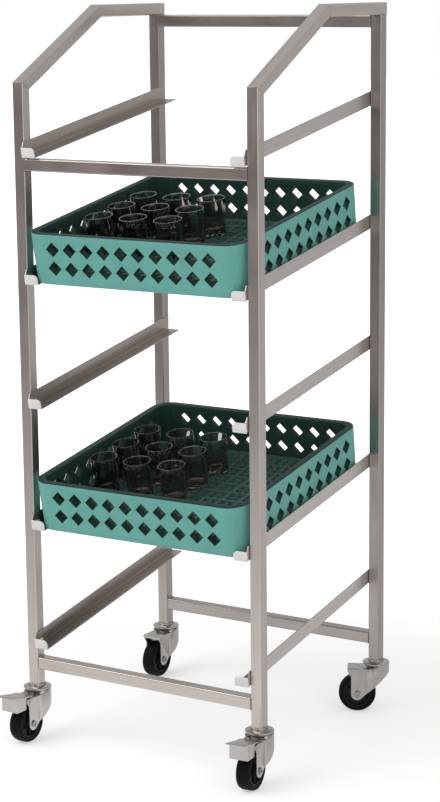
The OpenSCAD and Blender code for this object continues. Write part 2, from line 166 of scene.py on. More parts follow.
def shaded(colour: Colour, factor: float) -> Colour:
    """Give a colour made lighter or darker by a factor."""
    return colour[0] * factor, colour[1] * factor, colour[2] * factor


class Graph:
    """A node tree with short calls that add and wire its nodes."""

    def __init__(self, tree: bpy.types.NodeTree) -> None:
        """Take a node tree and empty it."""
        self.tree = tree
        self.tree.nodes.clear()

    def node(self, kind: str, inputs: dict[Any, Any] | None = None, **settings: Any) -> bpy.types.Node:
        """Add a node.

        Args:
            kind: Blender's name of the node's type.
            inputs: Values or sockets for the node's inputs, by name or number.
            settings: Values of the node's own properties.

        Returns:
            The new node.
        """
        made = self.tree.nodes.new(kind)
        for key, value in settings.items():
            setattr(made, key, value)
        for key, value in (inputs or {}).items():
            if isinstance(value, Socket):
                self.tree.links.new(value, made.inputs[key])
            else:
                made.inputs[key].default_value = value
        return made

    def spot(self) -> Socket:
        """Give the surface point in the object's axes."""
        return self.node("ShaderNodeTexCoord").outputs["Object"]

    def point(
        self, direction: Point = Grain.ACROSS.value, along: float = 1.0, across: float = 1.0
    ) -> Socket:
        """Give the surface point, turned to a direction and stretched along it.

        Args:
            direction: The direction in the object's axes.
            along: Scale along the direction.
            across: Scale across the direction.

        Returns:
            The scaled point's socket.
        """
        turn = Vector(direction).to_track_quat("X", "Z").inverted().to_euler()
        turned = self.node(
            "ShaderNodeMapping", {"Vector": self.spot(), "Rotation": turn}, vector_type="POINT"
        ).outputs[0]
        return self.node(
            "ShaderNodeVectorMath", {0: turned, 1: (along, across, across)}, operation="MULTIPLY"
        ).outputs[0]

    def split(self, vector: Socket) -> bpy.types.NodeOutputs:
        """Give a vector's three parts."""
        return self.node("ShaderNodeSeparateXYZ", {0: vector}).outputs

    def dot(self, first: Socket, second: Any) -> Socket:
        """Give the dot product of two vectors."""
        return self.node("ShaderNodeVectorMath", {0: first, 1: second}, operation="DOT_PRODUCT").outputs[1]

    def noise(self, point: Socket, scale: float, detail: float) -> Socket:
        """Add a noise texture.

        Args:
            point: The point at which it is read.
            scale: How many times it changes in a metre.
            detail: How many finer layers it has.

        Returns:
            A value from 0 to 1.
        """
        return self.node(
            "ShaderNodeTexNoise", {"Vector": point, "Scale": scale, "Detail": detail}
        ).outputs[0]

    def spread(
        self, value: Socket, low: float, high: float, start: float = 0.0, end: float = 1.0
    ) -> Socket:
        """Map a value from one range onto another.

        Args:
            value: The value.
            low: What the start becomes.
            high: What the end becomes.
            start: Where the value's range starts.
            end: Where it ends.

        Returns:
            The mapped value, which stays between low and high.
        """
        return self.node(
            "ShaderNodeMapRange",
            {"Value": value, "From Min": start, "From Max": end, "To Min": low, "To Max": high},
        ).outputs[0]

    def combine(self, first: Socket, second: Any, way: Join = Join.ADD) -> Socket:
        """Make one value of two."""
        return self.node("ShaderNodeMath", {0: first, 1: second}, operation=way.value).outputs[0]

    def blend(self, share: Socket, first: Any, second: Any) -> Socket:
        """Blend two colours.

        Args:
            share: The second colour's share.
            first: The first colour, or its socket.
            second: The second colour, or its socket.

        Returns:
            The blended colour.
        """
        full = [(*c, 1.0) if isinstance(c, tuple) else c for c in (first, second)]
        return self.node(
            "ShaderNodeMix", {0: share, 6: full[0], 7: full[1]}, data_type="RGBA"
        ).outputs[2]

    def edges(self, radius: float) -> Socket:
        """Find the edges of the shape.

        Args:
            radius: How far from an edge it is felt.

        Returns:
            A value of 1 along the edges, fading to 0 on flat faces.
        """
        rounded = self.node("ShaderNodeBevel", {"Radius": radius}, samples=4).outputs[0]
        flat = self.node("ShaderNodeNewGeometry").outputs["Normal"]
        return self.spread(self.dot(rounded, flat), 1.0, 0.0, 0.75, 0.99)

    def bump(self, height: Socket, strength: float, distance: float) -> Socket:
        """Raise the surface by a height.

        Args:
            height: The height, from 0 to 1.
            strength: How much of it shows.
            distance: What a height of 1 is in metres.

        Returns:
            The raised surface's normal.
        """
        return self.node(
            "ShaderNodeBump", {"Height": height, "Strength": strength, "Distance": distance}
        ).outputs[0]

    def glow(self, colour: Any, strength: Any) -> Socket:
        """Give a shader that glows in a colour."""
        return self.node("ShaderNodeEmission", {"Color": colour, "Strength": strength}).outputs[0]

    def switch(self, share: Socket, first: Socket, second: Socket) -> Socket:
        """Give the first of two shaders where the share is 0, and the second where it is 1."""
        return self.node("ShaderNodeMixShader", {0: share, 1: first, 2: second}).outputs[0]


@dataclass(frozen=True)
class Finish:
    """A surface finish, made into a Blender material the first time that it is used."""

    name: str
    colour: Colour
    roughness: float

    def material(self) -> bpy.types.Material:
        """Make the finish's material, or find the one that was made before.

        Returns:
            The material.
        """
        title = f"{self.name}_finish"
        found = bpy.data.materials.get(title)
        if found:
            return found
        made = bpy.data.materials.new(title)
        made.use_nodes = True
        graph = Graph(made.node_tree)
        shader = graph.node("ShaderNodeBsdfPrincipled")
        self.paint(graph, shader)
        graph.node("ShaderNodeOutputMaterial", {"Surface": shader.outputs[0]})
        return made

    def paint(self, graph: Graph, shader: bpy.types.Node) -> None:
        """Wire the finish's colour, gloss and relief to the shader."""
        raise NotImplementedError

    @staticmethod
    def wire(graph: Graph, shader: bpy.types.Node, **sockets: Socket) -> None:
        """Link sockets to the shader's inputs, whose names have underscores for spaces."""
        for name, socket in sockets.items():
            graph.tree.links.new(socket, shader.inputs[name.replace("_", " ")])


@dataclass(frozen=True)
class GroundSteel(Finish):
    """Stainless steel ground in one direction, with faint handling marks."""

    grain: Grain = Grain.UP
    scratch_scale: tuple[float, float] = (6.0, 900.0)
    streak_scale: tuple[float, float] = (3.0, 160.0)
    mark_scale: float = 11.0
    tones: tuple[float, float] = (0.93, 1.07)
    scratch_gloss: float = 0.05
    mark_gloss: tuple[float, float] = (0.05, 0.07)
    brushing: float = 0.35

    def paint(self, graph: Graph, shader: bpy.types.Node) -> None:
        """Wire long fine scratches and soft marks to the shader.

        Args:
            graph: The material's node tree.
            shader: The tree's shader.
        """
        direction = self.grain.value
        scratches = graph.noise(graph.point(direction, *self.scratch_scale), 1.0, 4.0)
        streaks = graph.noise(graph.point(direction, *self.streak_scale), 1.0, 3.0)
        marks = graph.noise(graph.point(direction), self.mark_scale, 5.0)
        tone = graph.combine(graph.spread(streaks, -0.5, 0.5, 0.25, 0.75), graph.spread(marks, 0.25, 0.75))
        shinier, duller = self.mark_gloss
        fine = graph.spread(scratches, -self.scratch_gloss, self.scratch_gloss, 0.25, 0.75)
        soft = graph.spread(marks, self.roughness - shinier, self.roughness + duller, 0.3, 0.7)
        dark, light = (shaded(self.colour, factor) for factor in self.tones)
        shader.inputs["Metallic"].default_value = 1.0
        shader.inputs["Anisotropic"].default_value = self.brushing
        self.wire(
            graph,
            shader,
            Base_Color=graph.blend(tone, dark, light),
            Roughness=graph.combine(fine, soft),
            Normal=graph.bump(scratches, 0.12, 0.0002),
        )


@dataclass(frozen=True)
class FoldedSteel(GroundSteel):
    """Ground sheet folded into a runner, with painted shade on the faces that look towards the dolly's
    middle.
    """

    # Painted shade: the inward faces take the ground colour times this level and the warm cast
    inside: float = 0.72
    cast: Colour = (1.0, 0.97, 0.94)
    turn: tuple[float, float] = (0.08, 0.14)

    def paint(self, graph: Graph, shader: bpy.types.Node) -> None:
        """Wire the ground outside, then paint shade on the faces that look towards the dolly's middle.

        Args:
            graph: The material's node tree.
            shader: The tree's shader.
        """
        super().paint(graph, shader)
        facing = graph.split(graph.node("ShaderNodeNewGeometry").outputs["Normal"])
        place = graph.split(graph.spot())
        outward = graph.combine(facing["X"], place["X"], Join.MULTIPLY)
        ground = shader.inputs["Base Color"].links[0].from_socket
        # The ground colour darkened as painted shade, for the faces that look inward
        inward_shade = graph.node(
            "ShaderNodeMix",
            {0: 1.0, 6: ground, 7: (*shaded(self.cast, self.inside), 1.0)},
            data_type="RGBA",
            blend_type="MULTIPLY",
        ).outputs[2]
        share = graph.spread(outward, 0.0, 1.0, *self.turn)
        self.wire(graph, shader, Base_Color=graph.blend(share, inward_shade, ground))


@dataclass(frozen=True)
class PlatedSteel(Finish):
    """Zinc plated pressed steel, a little cloudy and rubbed bright along its edges."""

    cloud_scale: float = 60.0
    fine_scale: float = 900.0
    tones: tuple[float, float] = (0.86, 1.12)
    rubbed_tone: float = 1.35
    rubbed_edge: float = 1.2 * MM

    def paint(self, graph: Graph, shader: bpy.types.Node) -> None:
        """Wire cloudy plating and a fine pressed surface to the shader.

        Args:
            graph: The material's node tree.
            shader: The tree's shader.
        """
        point = graph.point()
        clouds = graph.noise(point, self.cloud_scale, 5.0)
        fine = graph.noise(point, self.fine_scale, 2.0)
        patches = graph.spread(clouds, 0.0, 0.8, 0.35, 0.6)
        rubbed = graph.combine(graph.edges(self.rubbed_edge), patches, Join.MULTIPLY)
        dark, light = (shaded(self.colour, factor) for factor in self.tones)
        plating = graph.blend(clouds, dark, light)
        shader.inputs["Metallic"].default_value = 1.0
        self.wire(
            graph,
            shader,
            Base_Color=graph.blend(rubbed, plating, shaded(self.colour, self.rubbed_tone)),
            Roughness=graph.spread(clouds, self.roughness - 0.07, self.roughness + 0.1, 0.3, 0.7),
            Normal=graph.bump(fine, 0.10, 0.0003),
        )


@dataclass(frozen=True)
class MouldedPlastic(Finish):
    """Moulded plastic with a fine eggshell surface, faint flow marks and paler worn edges."""

    shine: float = 0.4
    flow_scale: tuple[float, float] = (9.0, 22.0)
    scuff_scale: float = 130.0
    fine_scale: float = 1400.0
    tones: tuple[float, float] = (0.92, 1.08)
    worn_tone: float = 1.3
    worn_edge: float = 1.5 * MM

    def paint(self, graph: Graph, shader: bpy.types.Node) -> None:
        """Wire flow marks, scuffs and the eggshell surface to the shader.

        Args:
            graph: The material's node tree.
            shader: The tree's shader.
        """
        point = graph.point()
        flow = graph.noise(graph.point(Grain.UP.value, *self.flow_scale), 1.0, 4.0)
        scuffs = graph.noise(point, self.scuff_scale, 6.0)
        fine = graph.noise(point, self.fine_scale, 2.0)
        tone = graph.combine(
            graph.spread(flow, 0.0, 0.7, 0.3, 0.7), graph.spread(scuffs, 0.0, 0.3, 0.35, 0.65)
        )
        patches = graph.spread(scuffs, 0.0, 0.7, 0.4, 0.62)
        worn = graph.combine(graph.edges(self.worn_edge), patches, Join.MULTIPLY)
        dark, light = (shaded(self.colour, factor) for factor in self.tones)
        moulded = graph.blend(tone, dark, light)
        shader.inputs["Specular IOR Level"].default_value = self.shine
        self.wire(
            graph,
            shader,
            Base_Color=graph.blend(worn, moulded, shaded(self.colour, self.worn_tone)),
            Roughness=graph.spread(scuffs, self.roughness - 0.06, self.roughness + 0.12, 0.35, 0.65),
            Normal=graph.bump(fine, 0.16, 0.0003),
        )


@dataclass(frozen=True)
class TyreRubber(Finish):
    """Black rubber with a dusty bloom."""

    shine: float = 0.14
    bloom_scale: float = 90.0
    pore_scale: float = 1100.0
    bloom_tone: float = 1.8

    def paint(self, graph: Graph, shader: bpy.types.Node) -> None:
        """Wire the bloom and the rubber's fine pores to the shader.

        Args:
            graph: The material's node tree.
            shader: The tree's shader.
        """
        point = graph.point()
        bloom = graph.noise(point, self.bloom_scale, 6.0)
        pores = graph.noise(point, self.pore_scale, 3.0)
        dusty = graph.spread(bloom, 0.0, 1.0, 0.45, 0.8)
        shader.inputs["Specular IOR Level"].default_value = self.shine
        self.wire(
            graph,
            shader,
            Base_Color=graph.blend(dusty, self.colour, shaded(self.colour, self.bloom_tone)),
            Roughness=graph.spread(bloom, self.roughness, self.roughness + 0.25, 0.3, 0.7),
            Normal=graph.bump(pores, 0.25, 0.0004),
        )


@dataclass(frozen=True)
class ShadeTintedGlass(Finish):
    """Pressed glass with painted shade, darkest in its thick foot, lighter above and clear at the rim."""

    foot_shade: Colour
    rim_colour: Colour
    stand: Vector
    # Share of the glass that stays clear; below 1 the rest shows its colour as a pale painted highlight
    clarity: float = 1.0
    refraction: float = 1.5
    film_scale: float = 70.0
    foot_end: tuple[float, float] = (9 * MM, 16 * MM)
    rim_start: tuple[float, float] = (46 * MM, 64 * MM)

    def paint(self, graph: Graph, shader: bpy.types.Node) -> None:
        """Wire the body's painted shade, the clear rim and faint water marks to a clear shader.

        Args:
            graph: The material's node tree.
            shader: The tree's shader.
        """
        film = graph.noise(graph.point(Grain.UP.value), self.film_scale, 4.0)
        up = Vector((0.0, -math.sin(TILT), math.cos(TILT)))
        above = graph.combine(graph.dot(graph.spot(), up), self.stand.dot(up), Join.SUBTRACT)
        # Painted shade: the glass is darker towards the foot
        body = graph.blend(graph.spread(above, 0.0, 1.0, *self.foot_end), self.foot_shade, self.colour)
        shader.inputs["Transmission Weight"].default_value = self.clarity
        shader.inputs["IOR"].default_value = self.refraction
        self.wire(
            graph,
            shader,
            Base_Color=graph.blend(graph.spread(above, 0.0, 1.0, *self.rim_start), body, self.rim_colour),
            Roughness=graph.spread(film, self.roughness, self.roughness + 0.015, 0.62, 0.9),
        )


STEEL = srgb(200, 193, 188)
# Painted shade: the rear tubes are the same steel as the rest, darkened by this factor
REAR_PAINTED_SHADE = 0.72
FRAME_STEEL = {
    grain: GroundSteel(f"frame_steel_{grain.name.lower()}", STEEL, 0.3, grain) for grain in Grain
}
REAR_SHADED_STEEL = {
    grain: GroundSteel(f"rear_steel_{grain.name.lower()}", shaded(STEEL, REAR_PAINTED_SHADE), 0.31, grain)
    for grain in (Grain.UP, Grain.ACROSS)
}
RUNNER_STEEL_INWARD_SHADE = FoldedSteel("runner_steel", srgb(208, 201, 197), 0.3, Grain.RUNNER)
WELD_STEEL = PlatedSteel("weld_steel", srgb(176, 170, 166), 0.34)
CASTOR_STEEL = PlatedSteel("castor_steel", srgb(190, 185, 181), 0.24)
BOLT_STEEL = PlatedSteel("bolt_steel", srgb(172, 170, 170), 0.26)
STOP_PLASTIC = MouldedPlastic("stop_plastic", srgb(236, 235, 232), 0.4)
HUB_PLASTIC = MouldedPlastic("hub_plastic", srgb(34, 33, 32), 0.45, 0.25)
RACK_OUTSIDE = MouldedPlastic("rack_plastic", srgb(108, 179, 168), 0.42, 0.35)
# Painted shade: the racks' insides and floors are the teal plastic, darkened
RACK_INSIDE_PAINTED_SHADE = MouldedPlastic("rack_plastic_inside", srgb(36, 64, 58), 0.5, 0.18)
RACK_FLOOR_PAINTED_SHADE = MouldedPlastic("rack_plastic_floor", srgb(66, 96, 89), 0.45, 0.25)
TYRE_RUBBER = TyreRubber("tyre_rubber", srgb(12, 11, 10), 0.5)
# Painted shade in the tumblers' glass, darkest at the foot and lighter in the body
FOOT_PAINTED_SHADE = srgb(112, 110, 107)
BODY_PAINTED_SHADE = srgb(204, 193, 186)
CLEAR = srgb(240, 238, 234)

FaceFinish = Callable[[bmesh.types.BMFace], int]


def tube_steel(name: str, grain: Grain) -> GroundSteel:
    """Give the steel of a tube by its name, with painted shade on the rear tubes."""
    return (REAR_SHADED_STEEL if name.startswith("rear") else FRAME_STEEL)[grain]


def piece(
    name: str,
    mesh: bmesh.types.BMesh,
    finishes: Sequence[Finish],
    body: str,
    stands_for: Iterable[str] = (),
    choose: FaceFinish | None = None,
    sharp: float = 30.0,
) -> bpy.types.Object:
    """Make a mesh into a piece that rides on a CAD body.

    Args:
        name: The piece's name.
        mesh: Its mesh in the CAD model's axes, which is used up.
        finishes: Its finishes.
        body: The CAD body that carries it.
        stands_for: The CAD nodes that it replaces.
        choose: Gives a face's place in finishes, where there are several.
        sharp: The angle in degrees above which an edge is shaded as an edge.

    Returns:
        The new object.
    """
    mesh.normal_update()
    for face in mesh.faces:
        face.smooth = True
        face.material_index = choose(face) if choose else 0
    for edge in mesh.edges:
        edge.smooth = len(edge.link_faces) == 2 and edge.calc_face_angle(0.0) < math.radians(sharp)
    data = bpy.data.meshes.new(name)
    mesh.to_mesh(data)
    mesh.free()
    for finish in finishes:
        data.materials.append(finish.material())
    made = bpy.data.objects.new(name, data)
    bpy.context.scene.collection.objects.link(made)
    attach(made, body)
    if stands_for:
        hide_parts(*stands_for)
    log.info("%s: %d faces, rides on %s", name, len(data.polygons), body)
    return made


def dress(node: str, finish: Finish) -> None:
    """Give a CAD node its finish.

    Args:
        node: The CAD node.
        finish: The finish of its whole surface.
    """
    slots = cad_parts[node].data.materials
    slots.clear()
    slots.append(finish.material())
    log.info("%s: CAD shape with %s", node, finish.name)


def softened(node: str, radius: float, steps: int = 2, angle: float = 30.0) -> bmesh.types.BMesh:
    """Copy a CAD node's mesh and round its edges.

    Args:
        node: The CAD node.
        radius: The edges' radius.
        steps: Faces across a rounded edge.
        angle: The least angle in degrees of an edge that is rounded.

    Returns:
        The new mesh.
    """
    mesh = bmesh.new()
    mesh.from_mesh(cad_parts[node].data)
    bmesh.ops.remove_doubles(mesh, verts=mesh.verts, dist=SAME_POINT)
    bmesh.ops.dissolve_limit(
        mesh, angle_limit=SAME_FACE, verts=mesh.verts, edges=mesh.edges, use_dissolve_boundaries=False
    )
    edges = [
        e for e in mesh.edges
        if len(e.link_faces) == 2 and e.calc_face_angle(0.0) > math.radians(angle)
    ]
    bmesh.ops.bevel(
        mesh, geom=edges, offset=radius, segments=steps, profile=0.5, affect="EDGES", clamp_overlap=False
    )
    bmesh.ops.dissolve_degenerate(mesh, dist=SAME_POINT, edges=mesh.edges)
    return mesh


def block(size: Point, place: Matrix, edge: float, steps: int) -> bmesh.types.BMesh:
    """Make a block with rounded edges.

    Args:
        size: Its length, width and height.
        place: Where its centre goes.
        edge: The edges' radius.
        steps: Faces across a rounded edge.

    Returns:
        The block's mesh.
    """
    mesh = bmesh.new()
    bmesh.ops.create_cube(mesh, size=1.0)
    bmesh.ops.transform(mesh, matrix=place @ Matrix.Diagonal((*size, 1.0)), verts=mesh.verts)
    bmesh.ops.bevel(mesh, geom=mesh.edges, offset=edge, segments=steps, profile=0.5, affect="EDGES")
    return mesh


def lathe(profile: Profile, steps: int, place: Matrix, closed: bool = True) -> bmesh.types.BMesh:
    """Turn a profile round the Z axis.

    Args:
        profile: Points of radius and height. A radius of 0 is on the axis.
        steps: Faces round the axis.
        place: Where the turned shape goes.
        closed: Whether the last point joins the first.

    Returns:
        The turned mesh.
    """
    mesh = bmesh.new()
    rings: list[list[bmesh.types.BMVert]] = []
    for radius, height in profile:
        if radius == 0.0:
            rings.append([mesh.verts.new((0.0, 0.0, height))])
            continue
        turns = [2 * math.pi * step / steps for step in range(steps)]
        rings.append([mesh.verts.new((radius * math.cos(a), radius * math.sin(a), height)) for a in turns])
    pairs = list(zip(rings, rings[1:]))
    if closed:
        pairs.append((rings[-1], rings[0]))
    for first, second in pairs:
        if len(first) == 1 and len(second) == 1:
            continue
        for step in range(steps):
            after = (step + 1) % steps
            corners = [first[step % len(first)], first[after % len(first)]]
            corners += [second[after % len(second)], second[step % len(second)]]
            mesh.faces.new(dict.fromkeys(corners))
    bmesh.ops.recalc_face_normals(mesh, faces=mesh.faces)
    bmesh.ops.transform(mesh, matrix=place, verts=mesh.verts)
    return mesh


def both_halves(half: Profile) -> list[tuple[float, float]]:
    """Complete half a profile with its mirror image.

    Args:
        half: Points of radius and height above 0 in millimetres, from the inside out.

    Returns:
        The whole profile in metres. A point at height 0 is there once.
    """
    mirrored = [(radius, -height) for radius, height in reversed(half) if height]
    return [(radius * MM, height * MM) for radius, height in (*half, *mirrored)]


def joined(meshes: Iterable[bmesh.types.BMesh]) -> bmesh.types.BMesh:
    """Join several meshes into one.

    Args:
        meshes: The meshes, which are used up.

    Returns:
        The joined mesh.
    """
    whole = bmesh.new()
    for mesh in meshes:
        data = bpy.data.meshes.new("part")
        mesh.to_mesh(data)
        mesh.free()
        whole.from_mesh(data)
        bpy.data.meshes.remove(data)
    return whole


def swept(path: Sequence[Vector], radius: float, closed: bool, sides: int = 8) -> bmesh.types.BMesh:
    """Sweep a round weld bead along a path, with the ripple that a weld has.

    Args:
        path: Points along the bead.
        radius: The bead's mean radius.
        closed: Whether the path is a ring.
        sides: Faces round the bead.

    Returns:
        The bead's mesh.
    """
    mesh = bmesh.new()
    rings = []
    count = len(path)
    for number, point in enumerate(path):
        before = path[number - 1] if closed or number else point
        after = path[(number + 1) % count] if closed or number + 1 < count else point
        along = (after - before).normalized()
        aside = along.orthogonal().normalized()
        other = along.cross(aside)
        size = radius * (1.0 + RIPPLE_DEPTH * math.sin(number * RIPPLE_TURN))
        turns = [2 * math.pi * step / sides for step in range(sides)]
        rings.append([
            mesh.verts.new(point + size * (aside * math.cos(a) + other * math.sin(a))) for a in turns
        ])
    pairs = list(zip(rings, rings[1:]))
    if closed:
        pairs.append((rings[-1], rings[0]))
    for first, second in pairs:
        shift = min(range(sides), key=lambda k: (second[k].co - first[0].co).length)
        for step in range(sides):
            after = (step + 1) % sides
            mesh.faces.new((
                first[step], first[after], second[(after + shift) % sides], second[(step + shift) % sides]
            ))
    if not closed:
        mesh.faces.new(rings[0])
        mesh.faces.new(rings[-1])
    bmesh.ops.recalc_face_normals(mesh, faces=mesh.faces)
    return mesh


def square_ring(half: float, radius: float, gap: float) -> list[tuple[float, float]]:
    """Give points round a square with round corners, about one gap apart.

    Args:
        half: Half the square's side.
        radius: The corners' radius.
        gap: The distance between points.

    Returns:
        The points, as pairs.
    """
    flat = half - radius
    points: list[tuple[float, float]] = []
    steps = max(2, round(2 * flat / gap))
    for quarter in range(4):
        turn = quarter * math.pi / 2
        side = [(half, flat * (2 * step / steps - 1)) for step in range(steps + 1)]
        bend = [
            (flat + radius * math.cos(a), flat + radius * math.sin(a)) for a in (math.pi / 6, math.pi / 3)
        ]
        for x, y in side + bend:
            points.append((x * math.cos(turn) - y * math.sin(turn), x * math.sin(turn) + y * math.cos(turn)))
    return points


@dataclass
class SideFrame:
    """The welded tubes of both sides and the bars between them."""

    tube: float = 25 * MM
    tube_corner: float = 3 * MM
    fillet: float = 1.3 * MM
    flush: float = 0.55 * MM
    sunk: float = 0.4
    ripple: float = 2.2 * MM
    side_x: float = 270 * MM
    front: float = -260 * MM
    rear: float = 260 * MM
    bend: float = 1245 * MM
    top: float = 1392 * MM

    def build(self) -> None:
        """Dress the tubes and bars, and lay the welds between them."""
        grains = {
            "front_upright": Grain.UP,
            "slope_tube": Grain.SLOPE,
            "top_rail": Grain.DEPTH,
            "rear_upright": Grain.UP,
        }
        for side in Side:
            for name, grain in grains.items():
                dress(f"{side.label}_{name}", tube_steel(name, grain))
        beads = []
        for bar in ("front_upper_bar", "front_lower_bar", "rear_top_bar", "rear_lower_bar"):
            dress(bar, tube_steel(bar, Grain.ACROSS))
            beads += self.bar_welds(bar)
        piece("bar_welds", joined(beads), [WELD_STEEL], "frame")
        mitres = [bead for side in Side for bead in self.corner_welds(side)]
        piece("corner_welds", joined(mitres), [WELD_STEEL], "frame")

    def bar_welds(self, bar: str) -> list[bmesh.types.BMesh]:
        """Make the fillet welds round both ends of a cross bar.

        Args:
            bar: The bar's CAD node.

        Returns:
            The two beads.
        """
        low, high = (Vector(corner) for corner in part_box(bar))
        middle = (low + high) / 2
        ring = square_ring(self.tube / 2, self.tube_corner, self.ripple)
        ends = (low.x + self.sunk * self.fillet, high.x - self.sunk * self.fillet)
        return [
            swept([Vector((x, middle.y + a, middle.z + b)) for a, b in ring], self.fillet, True) for x in ends
        ]

    def corner_welds(self, side: Side) -> list[bmesh.types.BMesh]:
        """Make the ground welds along one side's two mitres and under its top rail.

        Args:
            side: The side of the dolly.

        Returns:
            The three beads.
        """
        lower = math.tan((math.pi / 2 - SLOPE) / 2)
        upper = math.tan(SLOPE / 2)
        seams = [
            (Vector((self.front, self.bend)), Vector((self.tube, -self.tube * lower))),
            (Vector((self.front + SLOPE_RUN, self.top)), Vector((self.tube * upper, -self.tube))),
            (Vector((self.rear - self.tube, self.top - self.tube)), Vector((self.tube, 0.0))),
        ]
        inset = self.sunk * self.flush
        beads = []
        for start, across in seams:
            path = []
            for a, b in square_ring(self.tube / 2 - inset, self.tube_corner - inset, self.ripple):
                spot = start + across * (b / self.tube + 0.5)
                path.append(FRAME_ORIGIN + Vector((side.value * self.side_x + a, spot.x, spot.y)))
            beads.append(swept(path, self.flush, True))
        return beads


@dataclass
class RunnerSet:
    """The five pairs of sloping runners with their stops."""

    levels: int = 5
    stop_edge: float = 0.7 * MM
    stop_steps: int = 3
    lowest: float = 83 * MM
    pitch: float = 253.5 * MM
    leg: float = 30 * MM
    front: float = -268 * MM
    contact_x: float = 257.5 * MM
    uprights: tuple[float, float] = (-247.5 * MM, 247.5 * MM)
    bead: float = 0.9 * MM
    bead_length: float = 17 * MM
    bead_points: int = 9

    def build(self) -> None:
        """Dress the runners, weld them to the uprights and build the stops with rounded edges."""
        levels = range(1, self.levels + 1)
        beads = [bead for side in Side for level in levels for bead in self.welds(side, level)]
        piece("runner_welds", joined(beads), [WELD_STEEL], "frame")
        for side in Side:
            for level in levels:
                dress(f"{side.label}_runner_{level}", RUNNER_STEEL_INWARD_SHADE)
                node = f"{side.label}_stop_{level}"
                stop = softened(node, self.stop_edge, self.stop_steps)
                name = f"{side.label}_end_stop_{level}"
                piece(name, stop, [STOP_PLASTIC], "frame", [node])

    def point(self, level: int, spot: Vector) -> Vector:
        """Give the place of a spot that is measured from a runner's front end, along its slope."""
        start = FRAME_ORIGIN + Vector((0.0, self.front, self.lowest + (self.levels - level) * self.pitch))
        return start + Matrix.Rotation(TILT, 3, "X") @ spot

    def welds(self, side: Side, level: int) -> list[bmesh.types.BMesh]:
        """Make the short welds along a runner's upper edge, one at each upright.

        Args:
            side: The side of the dolly.
            level: The runner's level, counted from the top.

        Returns:
            The two beads.
        """
        x = side.value * (self.contact_x - self.bead / 2)
        beads = []
        for upright in self.uprights:
            middle = (upright - self.front + self.leg * math.sin(TILT)) / math.cos(TILT)
            path = []
            for number in range(self.bead_points):
                along = middle + self.bead_length * (number / (self.bead_points - 1) - 0.5)
                path.append(self.point(level, Vector((x, along, self.leg))))
            beads.append(swept(path, self.bead, False))
        return beads


@dataclass
class Castor:
    """A swivel castor. Its wheel's half profiles are radius and distance from the middle, in mm."""

    corner: Corner
    turn: float
    braked: bool
    edge: float = 0.7 * MM
    bolt_edge: float = 0.5 * MM
    tyre_steps: int = 96
    tyre_bead: Profile = (
        (29.7, 12.8), (30.2, 13.7), (31.0, 13.9), (33.6, 13.9), (34.0, 13.5), (34.7, 13.5), (35.1, 13.9)
    )
    shoulder_middle: tuple[float, float] = (24.0, 6.0)
    shoulder_radius: float = 16.0
    shoulder_places: tuple[float, ...] = (14.0, 13.0, 11.5, 10.0, 8.5, 7.0)
    tread: Profile = ((40.0, 5.2), (39.3, 4.8), (39.3, 3.6), (40.0, 3.2), (40.0, 0.0))
    hub_steps: int = 72
    hub_boss: Profile = (
        (4.1, 16.6), (4.5, 17.0), (9.6, 17.0), (10.6, 16.2), (11.0, 15.0), (11.0, 5.2), (12.0, 4.1)
    )
    hub_rim: Profile = ((25.4, 4.0), (26.4, 5.0), (26.7, 12.4), (27.2, 12.9), (29.0, 12.9), (29.45, 12.4))
    spokes: int = 6
    spoke_size: Point = (16.5 * MM, 3.0 * MM, 6.0 * MM)
    spoke_middle: float = 18.5 * MM
    spoke_level: float = 6.0 * MM
    spoke_steps: int = 3

    @property
    def name(self) -> str:
        """Give the castor's name in the CAD model."""
        return f"castor_{self.corner.value}"

    def build(self) -> None:
        """Build the castor's steel pieces and its wheel."""
        dress(f"{self.name}_stem", CASTOR_STEEL)
        self.wheel()
        self.pressing(f"{self.name}_fork", f"{self.name}_pressing", self.name)
        axle = f"{self.name}_axle"
        bolt = softened(axle, self.bolt_edge)
        piece(f"{self.name}_bolt", bolt, [BOLT_STEEL], self.name, [axle])
        if self.braked:
            pedal = f"pedal_{self.corner.value}"
            self.pressing(f"brake_{pedal}", f"{self.name}_pedal", pedal)

    def wheel(self) -> None:
        """Build the wheel: a moulded hub with spokes, and a grooved tyre."""
        low, high = (Vector(corner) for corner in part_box(f"{self.name}_tyre"))
        place = Matrix.Translation((low + high) / 2) @ Matrix.Rotation(self.turn, 4, "Z")
        place = place @ Matrix.Rotation(math.pi / 2, 4, "Y")
        body = f"wheel_{self.corner.value}"
        profile = both_halves((*self.tyre_bead, *self.shoulder(), *self.tread))
        tyre = lathe(profile, self.tyre_steps, place)
        piece(f"{self.name}_grooved_tyre", tyre, [TYRE_RUBBER], body, [f"{self.name}_tyre"])
        parts = [lathe(both_halves((*self.hub_boss, *self.hub_rim)), self.hub_steps, place)]
        for number in range(self.spokes):
            turned = place @ Matrix.Rotation(2 * math.pi * number / self.spokes, 4, "Z")
            for face in (-1, 1):
                spot = Matrix.Translation((self.spoke_middle, 0.0, face * self.spoke_level))
                parts.append(block(self.spoke_size, turned @ spot, self.edge, self.spoke_steps))
        piece(
            f"{self.name}_spoked_hub", joined(parts), [HUB_PLASTIC], body, [f"{self.name}_hub"]
        )

    def shoulder(self) -> list[tuple[float, float]]:
        """Make the round shoulder of the tyre's half profile.

        Returns:
            Its points of radius and distance from the middle, in millimetres.
        """
        radius, middle = self.shoulder_middle
        return [
            (radius + math.sqrt(self.shoulder_radius**2 - (x - middle) ** 2), x)
            for x in self.shoulder_places
        ]

    def pressing(self, node: str, name: str, body: str) -> None:
        """Make a steel pressing from its CAD node, with its edges rounded."""
        piece(name, softened(node, self.edge), [CASTOR_STEEL], body, [node])


